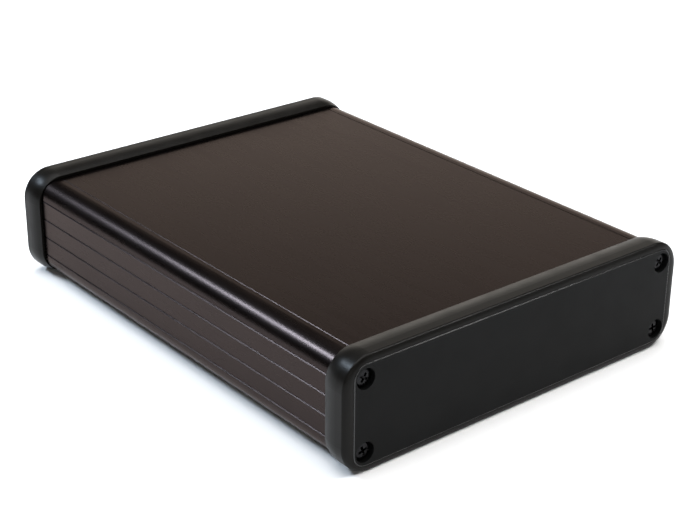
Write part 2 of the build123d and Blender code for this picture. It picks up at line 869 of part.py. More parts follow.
with BuildPart(across(rear_y - switch_depth)) as switch_blades:
    with Locations((switch_x, switch_z)):
        with GridLocations(0, blade_spacing, 1, 2):
            Box(blade_width, blade_thickness, blade_length, align=standing)
write(switch_blades, "switch_blades")

# each wire leaves its blade's end, runs forwards a little and turns down to the board
blade_end_y = rear_y - switch_depth - blade_length
with BuildPart() as switch_wires:
    for side, run in ((-1, wire_run), (1, 2 * wire_run)):
        wire_z = switch_z + side * blade_spacing / 2
        with BuildLine() as wire_route:
            FilletPolyline(
                (switch_x, blade_end_y, wire_z),
                (switch_x, blade_end_y - run, wire_z),
                (switch_x, blade_end_y - run, board_top),
                radius=wire_bend,
            )
        with BuildSketch(across(blade_end_y)):
            with Locations((switch_x, wire_z)):
                Circle(wire_radius)
        sweep(path=wire_route.line)
write(switch_wires, "switch_wires")

# ------------------------------------------------------------------ power jack
with BuildPart() as jack_body:
    with BuildSketch(outward(jack_x, jack_z, jack_reach)):
        Rectangle(jack_width, jack_height)
    extrude(amount=-jack_depth)
    chamfer(jack_body.edges().filter_by(Axis.Y), jack_edge)
    with BuildSketch(outward(jack_x, jack_z, jack_reach)):
        Circle(jack_bore_radius)
    extrude(amount=-jack_bore_depth, mode=Mode.SUBTRACT)
write(jack_body, "power_jack_body")

with BuildPart() as jack_pin:
    with BuildSketch(outward(jack_x, jack_z, jack_reach - jack_pin_setback)):
        Circle(jack_pin_radius)
    extrude(amount=jack_pin_setback - jack_bore_depth)
    fillet(jack_pin.faces().sort_by(Axis.Y)[-1].edges(), jack_pin_radius / 2)
write(jack_pin, "power_jack_pin")

# ------------------------------------------------------------------ coaxial trigger socket
with BuildPart() as coax_body:
    with BuildSketch(outward(coax_x, coax_z, -panel_thickness)):
        Rectangle(coax_block_width, 2 * coax_rise)
    extrude(amount=-coax_block_depth)
    chamfer(coax_body.edges().filter_by(Axis.Y), coax_block_edge)
    with BuildSketch(outward(coax_x, coax_z, -panel_thickness)):
        Circle(coax_thread_radius)
    extrude(amount=panel_thickness + coax_thread_reach)
    with BuildSketch(outward(coax_x, coax_z, coax_thread_reach)):
        Circle(coax_barrel_radius)
    extrude(amount=rear_reach - coax_thread_reach)
    chamfer(coax_body.faces().sort_by(Axis.Y)[-1].edges(), coax_mouth_edge)
    with BuildSketch(Plane.YZ.offset(coax_x)):
        with Locations((rear_y + rear_reach - coax_lug_setback, coax_z)):
            Circle(coax_lug_radius)
    extrude(amount=coax_lug_span / 2, both=True)
    with BuildSketch(outward(coax_x, coax_z, rear_reach)):
        Circle(coax_bore_radius)
    extrude(amount=-coax_bore_depth, mode=Mode.SUBTRACT)
    with BuildSketch(outward(coax_x, coax_z, rear_reach - coax_insulator_setback)):
        Circle(coax_insulator_radius + fit_gap)
    extrude(amount=-coax_insulator_length, mode=Mode.SUBTRACT)
write(coax_body, "trigger_socket_body")

with BuildPart() as coax_insulator:
    with BuildSketch(outward(coax_x, coax_z, rear_reach - coax_insulator_setback)):
        Circle(coax_insulator_radius)
        Circle(coax_contact_radius + fit_gap, mode=Mode.SUBTRACT)
    extrude(amount=-coax_insulator_length)
write(coax_insulator, "trigger_socket_insulator")

with BuildPart() as coax_contact:
    with BuildSketch(outward(coax_x, coax_z, rear_reach - coax_contact_setback)):
        Circle(coax_contact_radius)
    extrude(amount=-coax_contact_length)
    with BuildSketch(outward(coax_x, coax_z, rear_reach - coax_contact_setback)):
        Circle(coax_contact_bore)
    extrude(amount=-coax_contact_length / 2, mode=Mode.SUBTRACT)
write(coax_contact, "trigger_socket_contact")

with BuildPart() as coax_washer:
    with BuildSketch(outward(coax_x, coax_z)):
        Circle(coax_washer_radius)
        Circle(coax_thread_radius + fit_gap, mode=Mode.SUBTRACT)
    extrude(amount=coax_washer_thickness)
write(coax_washer, "trigger_socket_washer")

with BuildPart() as coax_nut:
    with BuildSketch(outward(coax_x, coax_z, coax_washer_thickness)):
        RegularPolygon(coax_nut_across / 2, 6, major_radius=False)
        Circle(coax_thread_radius + fit_gap, mode=Mode.SUBTRACT)
    extrude(amount=coax_nut_thickness)
    chamfer(coax_nut.faces().sort_by(Axis.Y)[-1].edges().filter_by(GeomType.LINE), coax_nut_edge)
write(coax_nut, "trigger_socket_nut")

# ------------------------------------------------------------------ arm button
button_flange_face = -panel_thickness - button_flange_gap
button_flange_back = button_flange_face - button_flange_thickness
button_body_face = button_flange_back - button_travel - running_clearance
plunger_end = button_body_face - plunger_length

with BuildPart() as arm_button:
    with BuildSketch(outward(button_x, button_z, button_reach)):
        Circle(button_radius)
    extrude(amount=button_flange_face - button_reach)
    fillet(arm_button.faces().sort_by(Axis.Y)[-1].edges(), button_round)
    with BuildSketch(outward(button_x, button_z, button_flange_face)):
        Circle(button_flange_radius)
    extrude(amount=-button_flange_thickness)
    with BuildSketch(outward(button_x, button_z, button_flange_back)):
        Circle(plunger_radius)
    extrude(amount=plunger_end - button_flange_back)
write(arm_button, "arm_button")

with BuildPart() as button_body:
    with BuildSketch(outward(button_x, board_top + button_body_height / 2, button_body_face)):
        Rectangle(button_body_width, button_body_height)
    extrude(amount=-button_body_depth)
    with BuildSketch(outward(button_x, button_z, button_body_face)):
        Circle(plunger_radius + running_clearance)
    extrude(amount=-(plunger_length + button_travel + connector_gap), mode=Mode.SUBTRACT)
write(button_body, "arm_switch_body")

# ------------------------------------------------------------------ USB socket
usb_inner_width = usb_width - 2 * usb_shell_wall
usb_inner_height = usb_height - 2 * usb_shell_wall
tongue_root_reach = usb_reach - usb_port_depth

with BuildPart() as usb_shell:
    with BuildSketch(outward(usb_x, usb_z, usb_reach)):
        Rectangle(usb_width, usb_height)
        Rectangle(usb_inner_width, usb_inner_height, mode=Mode.SUBTRACT)
    extrude(amount=-usb_depth)
write(usb_shell, "usb_shell")

with BuildPart() as usb_insert:
    with BuildSketch(outward(usb_x, usb_z, usb_reach - connector_gap)):
        Rectangle(usb_inner_width - 2 * fit_gap, usb_inner_height - 2 * fit_gap)
    extrude(amount=connector_gap - usb_depth)
    with BuildSketch(outward(usb_x, usb_z, usb_reach)):
        port = Rectangle(usb_port_width, usb_port_height)
        chamfer(port.vertices().group_by(Axis.Y)[-1], usb_port_chamfer)
    extrude(amount=-usb_port_depth, mode=Mode.SUBTRACT)
    with BuildSketch(outward(usb_x, usb_z, tongue_root_reach)):
        Rectangle(usb_tongue_width, usb_tongue_height)
    extrude(amount=usb_tongue_length)
write(usb_insert, "usb_insert")

with BuildPart() as usb_contacts:
    for side in (-1, 1):
        contact_z = usb_z + side * (usb_tongue_height + usb_contact_thickness) / 2
        with BuildSketch(outward(usb_x, contact_z, tongue_root_reach)):
            with GridLocations(usb_contact_spacing, 0, 2, 1):
                Rectangle(usb_contact_width, usb_contact_thickness)
        extrude(amount=usb_contact_length)
write(usb_contacts, "usb_contacts")

# ------------------------------------------------------------------ status lights
led_holder_top = led_heights[-1] + led_holder_margin

with BuildPart() as led_holder:
    with BuildSketch(outward(led_x, (board_top + led_holder_top) / 2, -panel_thickness)):
        Rectangle(led_holder_width, led_holder_top - board_top)
    extrude(amount=-led_holder_depth)
    for z in led_heights:
        with BuildSketch(outward(led_x, z, -panel_thickness)):
            Circle(led_radius + fit_gap)
        extrude(amount=-led_holder_depth / 2, mode=Mode.SUBTRACT)
write(led_holder, "light_holder")

with BuildPart() as status_lights:
    for z in led_heights:
        with BuildSketch(outward(led_x, z, led_barrel_reach)):
            Circle(led_radius)
        extrude(amount=-panel_thickness - led_barrel_reach - led_holder_depth / 2)
        with Locations((led_x, rear_y + led_barrel_reach, z)):
            Sphere(led_radius)
write(status_lights, "status_lights")

# ------------------------------------------------------------------ probe header
pivot_offset = shroud_width / 2 + latch_pivot_offset
slot_reach = shroud_width / 2 + ear_width
header_floor_reach = header_reach - header_depth + header_floor

with BuildPart() as header_shroud:
    with BuildSketch(outward(header_x, header_z, header_reach)):
        Rectangle(shroud_width, shroud_height)
    extrude(amount=-header_depth)
    with BuildSketch(outward(header_x, header_z, latch_pivot_reach + ear_depth / 2)):
        Rectangle(shroud_width + 2 * ear_width, shroud_height)
    extrude(amount=-ear_depth)
    with BuildSketch(outward(header_x, header_z, header_reach)):
        Rectangle(shroud_width - 2 * header_wall, shroud_height - 2 * header_wall)
        with Locations((0, shroud_height / 2)):
            Rectangle(key_width, 2 * header_wall)
    extrude(amount=header_floor - header_depth, mode=Mode.SUBTRACT)
    # the latches' slots through both ends
    with BuildSketch(outward(header_x, header_z, header_reach)):
        Rectangle(2 * slot_reach, ear_gap)
        Rectangle(shroud_width - 2 * header_wall, ear_gap, mode=Mode.SUBTRACT)
    extrude(amount=header_floor - header_depth, mode=Mode.SUBTRACT)
    with BuildSketch(Plane.XY.offset(header_z)):
        with Locations((header_x, rear_y + latch_pivot_reach)):
            with GridLocations(2 * pivot_offset, 0, 2, 1):
                Circle(latch_pivot_radius + running_clearance)
    extrude(amount=shroud_height / 2, both=True, mode=Mode.SUBTRACT)
    with BuildSketch(outward(header_x, header_z, header_floor_reach)):
        with GridLocations(pin_pitch, pin_pitch, header_columns, header_rows):
            Rectangle(pin_width + 2 * fit_gap, pin_width + 2 * fit_gap)
    extrude(amount=-header_floor, mode=Mode.SUBTRACT)
write(header_shroud, "probe_header_shroud")

# each pin runs back out of the shroud and turns down through the board
with BuildPart() as header_pins:
    for column in range(header_columns):
        pin_x = header_x + (column - (header_columns - 1) / 2) * pin_pitch
        for row in range(header_rows):
            pin_z = header_z + (row - (header_rows - 1) / 2) * pin_pitch
            tip_y = rear_y + header_floor_reach + pin_reach
            leg_y = rear_y + header_reach - header_depth - (row + 1) * pin_pitch
            with BuildSketch(Plane.YZ.offset(pin_x)):
                with BuildLine():
                    Polyline(
                        (tip_y, pin_z - pin_width / 2),
                        (tip_y, pin_z + pin_width / 2),
                        (leg_y, pin_z + pin_width / 2),
                        (leg_y, board_top),
                        (leg_y + pin_width, board_top),
                        (leg_y + pin_width, pin_z - pin_width / 2),
                        close=True,
                    )
                make_face()
            extrude(amount=pin_width / 2, both=True)
write(header_pins, "probe_header_pins")


def make_latch(name, side):
    """An ejector latch that turns about an upright pivot at one end of the header; side is -1 or 1."""
    half = latch_width / 2
    pivot = Plane(
        origin=(header_x + side * pivot_offset, rear_y + latch_pivot_reach, header_z),
        x_dir=(1, 0, 0),
        z_dir=(0, 0, 1),
    )
    with BuildPart() as latch:
        with BuildSketch(pivot):
            Circle(latch_hub_radius)
            with BuildLine():
                Polyline(
                    (side * half, -latch_foot),
                    (side * half, latch_length - half),
                    (side * half / 2, latch_length),
                    (-side * (half + latch_hook / 2), latch_length),
                    (-side * (half + latch_hook), latch_hook_start + half),
                    (-side * half, latch_hook_start),
                    (-side * half, -latch_foot),
                    close=True,
                )
            make_face()
        extrude(amount=ear_gap / 2 - latch_end_gap, both=True)
        with BuildSketch(pivot):
            Circle(latch_pivot_radius)
        extrude(amount=shroud_height / 2 - fit_gap, both=True)
    write(latch, name)


make_latch("header_latch_left", -1)
make_latch("header_latch_right", 1)
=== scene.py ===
# A logic analyzer in a slide-together extruded case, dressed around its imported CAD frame. Everything is in
# metres, in the frame's own axes: +Y from the blank front end to the connectors, +Z up.

import json
import math

import bmesh
import bpy
from mathutils import Matrix, Vector


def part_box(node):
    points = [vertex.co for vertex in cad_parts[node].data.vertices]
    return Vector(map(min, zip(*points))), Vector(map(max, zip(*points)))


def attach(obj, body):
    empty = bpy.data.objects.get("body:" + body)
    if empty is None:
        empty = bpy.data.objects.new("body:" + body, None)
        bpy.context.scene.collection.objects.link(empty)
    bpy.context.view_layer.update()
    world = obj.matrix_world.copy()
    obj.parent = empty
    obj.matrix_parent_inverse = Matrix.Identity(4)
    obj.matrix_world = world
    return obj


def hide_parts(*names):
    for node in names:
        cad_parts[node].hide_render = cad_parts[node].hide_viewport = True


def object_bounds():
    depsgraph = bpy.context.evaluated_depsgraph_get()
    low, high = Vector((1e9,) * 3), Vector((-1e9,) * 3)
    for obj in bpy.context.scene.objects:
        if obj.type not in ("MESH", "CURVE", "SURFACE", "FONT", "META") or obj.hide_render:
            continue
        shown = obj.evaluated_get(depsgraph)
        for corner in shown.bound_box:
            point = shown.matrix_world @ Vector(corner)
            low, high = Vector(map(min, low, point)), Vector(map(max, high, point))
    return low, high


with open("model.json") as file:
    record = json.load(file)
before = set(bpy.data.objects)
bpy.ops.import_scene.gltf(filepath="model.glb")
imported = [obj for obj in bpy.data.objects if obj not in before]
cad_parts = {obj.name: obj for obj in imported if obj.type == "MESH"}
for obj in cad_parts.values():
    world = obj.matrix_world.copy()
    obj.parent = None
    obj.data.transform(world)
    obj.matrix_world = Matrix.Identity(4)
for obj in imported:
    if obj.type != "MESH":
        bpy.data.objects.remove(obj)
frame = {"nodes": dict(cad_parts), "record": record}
cad_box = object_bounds()

MM = 0.001
nodes = frame["nodes"]

# ------------------------------------------------------------------ camera
case_low, case_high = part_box("case_extrusion")
front_face_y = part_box("front_panel")[0].y
rear_face_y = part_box("rear_panel")[1].y
case_middle = Vector((0.0, (front_face_y + rear_face_y) / 2, (case_low.z + case_high.z) / 2))


def direction(azimuth, elevation):
    """The unit vector from the case towards a place seen at these angles; azimuth 0 is in front of it."""
    a, e = math.radians(azimuth), math.radians(elevation)
    return Vector((math.sin(a) * math.cos(e), -math.cos(a) * math.cos(e), math.sin(e)))


def make_camera(azimuth, elevation, roll, distance, slide_right, slide_up, lens):
    """A camera that looks at the middle of the case from a direction, slid sideways in its own plane."""
    back = direction(azimuth, elevation)
    level_right = Vector((0.0, 0.0, 1.0)).cross(back).normalized()
    level_up = back.cross(level_right)
    r = math.radians(roll)
    right = level_right * math.cos(r) + level_up * math.sin(r)
    up = level_up * math.cos(r) - level_right * math.sin(r)
    data = bpy.data.cameras.new("camera")
    data.lens = lens
    data.sensor_width = 36.0
    data.clip_start = 0.01
    data.clip_end = 50.0
    camera = bpy.data.objects.new("camera", data)
    bpy.context.scene.collection.objects.link(camera)
    place = case_middle + right * slide_right + up * slide_up + back * distance
    camera.matrix_world = Matrix.Translation(place) @ Matrix((right, up, back)).transposed().to_4x4()
    bpy.context.scene.camera = camera


make_camera(
    azimuth=-39.514,
    elevation=25.039,
    roll=0.573,
    distance=0.50759,
    slide_right=0.004226,
    slide_up=-0.00228,
    lens=85.03,
)


# ------------------------------------------------------------------ node tools
def mixer(tree, kind, factor):
    """A mix node run by factor, for FLOAT or RGBA. Gives its two inputs and its result."""
    mix = tree.nodes.new("ShaderNodeMix")
    mix.data_type = kind
    wanted = "RGBA" if kind == "RGBA" else "VALUE"
    first, second = [socket for socket in mix.inputs if socket.type == wanted][-2:]
    result = [socket for socket in mix.outputs if socket.type == wanted][0]
    tree.links.new(factor, mix.inputs["Factor"])
    return first, second, result


# ------------------------------------------------------------------ stage
WHITE = (1.0, 1.0, 1.0)


def make_world(ambient, glow, glow_azimuth, glow_elevation, colour):
    """A dim studio with a glow low on one side of it, and plain white behind the object."""
    glow_edge, glow_heart = 0.74, 0.99  # cosines of the angles where the glow starts and where it is full
    flatten = Vector((1.0, 1.0, 2.0))  # makes the glow wider than it is high
    world = bpy.data.worlds.new("studio")
    bpy.context.scene.world = world
    world.use_nodes = True
    tree = world.node_tree
    around = tree.nodes.new("ShaderNodeTexCoord")
    stretch = tree.nodes.new("ShaderNodeVectorMath")
    stretch.operation = "MULTIPLY"
    stretch.inputs[1].default_value = flatten
    tree.links.new(around.outputs["Generated"], stretch.inputs[0])
    unit = tree.nodes.new("ShaderNodeVectorMath")
    unit.operation = "NORMALIZE"
    tree.links.new(stretch.outputs["Vector"], unit.inputs[0])
    towards = tree.nodes.new("ShaderNodeVectorMath")
    towards.operation = "DOT_PRODUCT"
    towards.inputs[1].default_value = Vector(
        a * b for a, b in zip(direction(glow_azimuth, glow_elevation), flatten)
    ).normalized()
    tree.links.new(unit.outputs["Vector"], towards.inputs[0])
    spread = tree.nodes.new("ShaderNodeMapRange")
    spread.interpolation_type = "SMOOTHSTEP"
    spread.inputs["From Min"].default_value = glow_edge
    spread.inputs["From Max"].default_value = glow_heart
    spread.inputs["To Min"].default_value = ambient
    spread.inputs["To Max"].default_value = glow
    tree.links.new(towards.outputs["Value"], spread.inputs["Value"])
    background = tree.nodes["Background"]
    seen = tree.nodes.new("ShaderNodeLightPath").outputs["Is Camera Ray"]
    around_strength, seen_strength, strength = mixer(tree, "FLOAT", seen)
    tree.links.new(spread.outputs["Result"], around_strength)
    seen_strength.default_value = 1.0
    tree.links.new(strength, background.inputs["Strength"])
    around_colour, seen_colour, shade = mixer(tree, "RGBA", seen)
    around_colour.default_value = (*colour, 1.0)
    seen_colour.default_value = (*WHITE, 1.0)
    tree.links.new(shade, background.inputs["Color"])


def make_floor(size, drop):
    """A pale floor, a hair below the case so that the two never share a plane."""
    mesh = bpy.data.meshes.new("floor")
    half = size / 2
    corners = [(-half, -half, 0), (half, -half, 0), (half, half, 0), (-half, half, 0)]
    mesh.from_pydata(corners, [], [(0, 1, 2, 3)])
    floor = bpy.data.objects.new("floor", mesh)
    floor.location.z = cad_box[0].z - drop
    bpy.context.scene.collection.objects.link(floor)
    material = bpy.data.materials.new("pale_floor")
    material.use_nodes = True
    shader = material.node_tree.nodes["Principled BSDF"]
    shader.inputs["Base Color"].default_value = (0.93, 0.93, 0.93, 1.0)
    shader.inputs["Roughness"].default_value = 0.9
    shader.inputs["Specular IOR Level"].default_value = 0.1
    mesh.materials.append(material)


def make_softbox(name, azimuth, elevation, distance, width, height, power, colour=WHITE):
    """An area light aimed at the middle of the case from a direction."""
    back = direction(azimuth, elevation)
    data = bpy.data.lights.new(name, "AREA")
    data.shape = "RECTANGLE"
    data.size = width
    data.size_y = height
    data.energy = power
    data.color = colour
    light = bpy.data.objects.new(name, data)
    light.visible_camera = False
    turn = back.to_track_quat("Z", "Y").to_matrix().to_4x4()
    light.matrix_world = Matrix.Translation(case_middle + back * distance) @ turn
    bpy.context.scene.collection.objects.link(light)


bpy.context.scene.view_settings.view_transform = "Standard"
make_world(ambient=0.05, glow=1.45, glow_azimuth=138, glow_elevation=6, colour=(1.0, 0.94, 0.86))
make_floor(size=8.0, drop=0.02 * MM)
make_softbox("overhead", azimuth=100, elevation=88, distance=2.2, width=2.4, height=2.4, power=75)
make_softbox(
    "edge_light",
    azimuth=216,
    elevation=39,
    distance=1.2,
    width=0.30,
    height=0.13,
    power=9,
    colour=(0.72, 0.85, 1.0),
)
make_softbox("corner_light", azimuth=-90, elevation=60, distance=1.4, width=0.3, height=0.3, power=2)
make_softbox("front_light", azimuth=54, elevation=44, distance=1.3, width=0.30, height=0.20, power=5)
make_softbox("fill_light", azimuth=-28, elevation=20, distance=1.8, width=1.4, height=0.5, power=4)
make_softbox("right_fill", azimuth=48, elevation=14, distance=1.8, width=0.9, height=0.3, power=1.5)


# ------------------------------------------------------------------ materials
class Surface:
    """A material and short ways to build its nodes. Noise is in object space, so it stays with its piece."""

    def __init__(self, name, colour, roughness, metallic=0.0, **sockets):
        self.material = bpy.data.materials.new(name)
        self.material.use_nodes = True
        self.tree = self.material.node_tree
        self.shader = self.tree.nodes["Principled BSDF"]
        self.set("Base Color", (*colour, 1.0))
        self.set("Roughness", roughness)
        self.set("Metallic", metallic)
        for socket, value in sockets.items():
            self.set(socket.replace("_", " "), value)
        self.material.diffuse_color = (*colour, 1.0)
        self.relief = None
        self.place = self.node("ShaderNodeTexCoord").outputs["Object"]

    def set(self, socket, value):
        """Sets one of the shader's own inputs."""
        self.shader.inputs[socket].default_value = value

    def node(self, kind, **inputs):
        """A new node with some of its inputs set, by name with _ for a space."""
        made = self.tree.nodes.new(kind)
        for socket, value in inputs.items():
            made.inputs[socket.replace("_", " ")].default_value = value
        return made

    def link(self, out, into):
        self.tree.links.new(out, into)

    def noise(self, size, detail=2.0, stretch=(1.0, 1.0, 1.0)):
        """A noise whose features are about that many metres across, from 0 to 1."""
        mapping = self.node("ShaderNodeMapping", Scale=stretch)
        self.link(self.place, mapping.inputs["Vector"])
        texture = self.node("ShaderNodeTexNoise", Scale=1.0 / size, Detail=detail)
        self.link(mapping.outputs["Vector"], texture.inputs["Vector"])
        return texture.outputs["Fac"]

    def specks(self, size):
        """Distance to the nearest of many scattered points about that many metres apart, from 0 to 1."""
        texture = self.node("ShaderNodeTexVoronoi", Scale=1.0 / size)
        self.link(self.place, texture.inputs["Vector"])
        return texture.outputs["Distance"]

    def remap(self, value, low, high, to_low=0.0, to_high=1.0):
        """Stretches low to high over to_low to to_high, and holds it at those ends."""
        spread = self.node("ShaderNodeMapRange")
        self.link(value, spread.inputs["Value"])
        ends = {"From Min": low, "From Max": high, "To Min": to_low, "To Max": to_high}
        for socket, number in ends.items():
            spread.inputs[socket].default_value = number
        return spread.outputs["Result"]

    def tint(self, value, other):
        """Mixes the base colour with another colour by value."""
        current = self.shader.inputs["Base Color"]
        first, second, result = mixer(self.tree, "RGBA", value)
        if current.is_linked:
            self.link(current.links[0].from_socket, first)
        else:
            first.default_value = current.default_value
        second.default_value = (*other, 1.0)
        self.link(result, current)
        return self

    def vary_roughness(self, value, low, high):
        """Makes the roughness follow a noise, from low to high."""
        self.link(self.remap(value, 0.3, 0.7, low, high), self.shader.inputs["Roughness"])
        return self

    def bump(self, value, depth, strength=1.0):
        """Adds relief of that many metres."""
        bump = self.node("ShaderNodeBump", Strength=strength, Distance=depth)
        self.link(value, bump.inputs["Height"])
        if self.relief is not None:
            self.link(self.relief, bump.inputs["Normal"])
        self.relief = bump.outputs["Normal"]
        self.link(self.relief, self.shader.inputs["Normal"])
        return self


def case_anodising():
    """Dark brown anodised aluminium, with a fine grain and faint marks along its length."""
    s = Surface("case_anodising", (0.026, 0.0205, 0.0200), 0.27, metallic=1.0)
    s.set("Specular Tint", (0.75, 0.70, 0.68, 1.0))
    s.tint(s.remap(s.noise(30 * MM, detail=3.0), 0.3, 0.7, 0.0, 0.5), (0.030, 0.0235, 0.0225))
    s.tint(s.remap(s.noise(0.25 * MM, detail=2.0), 0.45, 0.75, 0.0, 0.35), (0.038, 0.030, 0.029))
    s.vary_roughness(s.noise(4 * MM, detail=4.0, stretch=(1.0, 0.15, 1.0)), 0.25, 0.30)
    s.bump(s.noise(0.3 * MM, detail=3.0), 0.02 * MM, 0.35)
    return s.material


def moulded(name, colour, roughness, grain, depth, specular=0.5, lighter=1.25):
    """A moulded plastic with slight colour drift, uneven gloss and a fine surface grain."""
    s = Surface(name, colour, roughness, **{"Specular IOR Level": specular})
    s.tint(s.remap(s.noise(20 * MM), 0.35, 0.65, 0.0, 0.6), [channel * lighter for channel in colour])
    s.vary_roughness(s.noise(6 * MM, detail=4.0), roughness - 0.04, roughness + 0.06)
    s.bump(s.noise(grain, detail=2.0), depth, 0.4)
    return s.material


def metal(name, colour, roughness, stretch=(1.0, 1.0, 1.0), grain=0.12 * MM, depth=0.004 * MM):
    """A bare or plated metal with faint tarnish and drawn or polished marks."""
    s = Surface(name, colour, roughness, metallic=1.0)
    s.tint(s.remap(s.noise(2.5 * MM, detail=3.0), 0.4, 0.7, 0.0, 0.5), [channel * 0.8 for channel in colour])
    s.vary_roughness(s.noise(0.8 * MM, detail=3.0, stretch=stretch), roughness * 0.8, roughness * 1.3)
    s.bump(s.noise(grain, detail=2.0, stretch=stretch), depth, 0.5)
    return s.material


def board_mask():
    """Green solder mask over glass laminate, with faint specks."""
    s = Surface("board_laminate", (0.010, 0.085, 0.034), 0.30)
    s.tint(s.remap(s.noise(14 * MM, detail=3.0), 0.35, 0.65, 0.0, 0.5), (0.013, 0.100, 0.042))
    s.tint(s.remap(s.specks(0.6 * MM), 0.0, 0.3, 0.25, 0.0), (0.020, 0.120, 0.055))
    s.vary_roughness(s.noise(3 * MM, detail=3.0), 0.26, 0.36)
    s.bump(s.noise(0.5 * MM, detail=3.0), 0.010 * MM, 0.4)
    return s.material


def lens_epoxy():
    """The clear green epoxy of the status lights."""
    s = Surface("light_lens", (0.20, 0.70, 0.30), 0.12, IOR=1.5)
    s.set("Transmission Weight", 0.7)
    s.tint(s.remap(s.noise(1.5 * MM), 0.3, 0.7, 0.0, 0.4), (0.28, 0.78, 0.38))
    s.vary_roughness(s.noise(0.8 * MM), 0.08, 0.16)
    s.bump(s.noise(0.6 * MM), 0.006 * MM, 0.3)
    return s.material


MATERIALS = {
    "case_anodising": case_anodising(),
    "bezel_plastic": moulded("bezel_plastic", (0.0042, 0.0037, 0.0031), 0.32, 0.5 * MM, 0.02 * MM, 0.10),
    "panel_plastic": moulded("panel_plastic", (0.0045, 0.0047, 0.0047), 0.42, 0.4 * MM, 0.025 * MM, 0.06),
    "black_steel": metal("black_steel", (0.018, 0.018, 0.019), 0.28),
    "board_laminate": board_mask(),
    "chip_epoxy": moulded("chip_epoxy", (0.018, 0.018, 0.019), 0.62, 0.12 * MM, 0.012 * MM),
    "tinned_lead": metal("tinned_lead", (0.62, 0.62, 0.60), 0.28),
    "thermal_pad": moulded("thermal_pad", (0.35, 0.36, 0.38), 0.8, 0.4 * MM, 0.02 * MM),
    "heatsink_black": metal("heatsink_black", (0.030, 0.030, 0.033), 0.45, stretch=(8.0, 0.3, 1.0)),
    "resistor_body": moulded("resistor_body", (0.020, 0.020, 0.022), 0.35, 0.2 * MM, 0.008 * MM),
    "capacitor_body": moulded("capacitor_body", (0.38, 0.26, 0.16), 0.45, 0.2 * MM, 0.008 * MM, lighter=1.1),
    "steel_can": metal("steel_can", (0.58, 0.58, 0.57), 0.25, stretch=(1.0, 0.2, 1.0)),
    "capacitor_can": metal("capacitor_can", (0.74, 0.74, 0.74), 0.22, stretch=(1.0, 1.0, 0.15)),
    "black_base": moulded("black_base", (0.020, 0.020, 0.020), 0.5, 0.25 * MM, 0.012 * MM),
    "ferrite": moulded("ferrite", (0.050, 0.050, 0.052), 0.7, 0.3 * MM, 0.03 * MM),
    "fuse_body": moulded("fuse_body", (0.030, 0.200, 0.090), 0.4, 0.3 * MM, 0.01 * MM),
    "gold_pin": metal("gold_pin", (0.85, 0.62, 0.26), 0.22),
    "connector_plastic": moulded("connector_plastic", (0.022, 0.022, 0.023), 0.48, 0.2 * MM, 0.012 * MM),
    "insert_plastic": moulded("insert_plastic", (0.72, 0.71, 0.67), 0.35, 0.3 * MM, 0.008 * MM, lighter=1.03),
    "switch_plastic": moulded("switch_plastic", (0.016, 0.016, 0.017), 0.22, 0.5 * MM, 0.006 * MM),
    "nickel": metal("nickel", (0.66, 0.65, 0.62), 0.16),
    "ptfe": moulded("ptfe", (0.82, 0.82, 0.80), 0.4, 0.3 * MM, 0.006 * MM, lighter=1.02),
    "button_plastic": moulded("button_plastic", (0.30, 0.30, 0.31), 0.45, 0.3 * MM, 0.01 * MM, lighter=1.06),
    "light_lens": lens_epoxy(),
    "wire_insulation": moulded("wire_insulation", (0.30, 0.020, 0.020), 0.5, 0.4 * MM, 0.01 * MM),
}
polished_plastic = moulded("polished_plastic", (0.006, 0.006, 0.006), 0.24, 0.5 * MM, 0.006 * MM, 0.5)
silkscreen = moulded("silkscreen", (0.78, 0.78, 0.74), 0.6, 0.15 * MM, 0.004 * MM, lighter=1.04)
mask_over_copper = moulded("mask_over_copper", (0.022, 0.150, 0.060), 0.3, 0.4 * MM, 0.006 * MM)


def dress_frame():
    """Gives each CAD node the material of its slot."""
    for row in frame["record"]["subparts"]:
        mesh = nodes[row["node"]].data
        mesh.materials.clear()
        mesh.materials.append(MATERIALS[row["material_slot"]])


dress_frame()


# ------------------------------------------------------------------ mesh tools
def loft(bm, rings, closed=False):
    """Joins rings of equally many points into one solid: capped, or run back to the first ring if closed."""
    made = [[bm.verts.new(point) for point in ring] for ring in rings]
    count = len(rings[0])
    pairs = list(zip(made, made[1:]))
    if closed:
        pairs.append((made[-1], made[0]))
    for lower, upper in pairs:
        for i in range(count):
            j = (i + 1) % count
            bm.faces.new((lower[i], lower[j], upper[j], upper[i]))
    if not closed:
        bm.faces.new(made[0][::-1])
        bm.faces.new(made[-1])


def block(bm, low, high, edge=0.0):
    """A box between two corners, with its top edges taken off by edge."""
    def ring(z, inset):
        x0, x1, y0, y1 = low[0] + inset, high[0] - inset, low[1] + inset, high[1] - inset
        return [(x0, y0, z), (x1, y0, z), (x1, y1, z), (x0, y1, z)]

    rings = [ring(low[2], 0.0), ring(high[2] - edge, 0.0)]
    if edge:
        rings.append(ring(high[2], edge))
    loft(bm, rings)


def turned(bm, middle, axis, profile, sides=24):
    """A solid turned round an axis through a point. The profile is (radius, height) pairs."""
    axis = Vector(axis).normalized()
    first = axis.orthogonal().normalized()
    second = axis.cross(first)
    rings = []
    for radius, height in profile:
        angles = [2 * math.pi * i / sides for i in range(sides)]
        spokes = [first * math.cos(a) + second * math.sin(a) for a in angles]
        rings.append([Vector(middle) + axis * height + spoke * radius for spoke in spokes])
    loft(bm, rings)


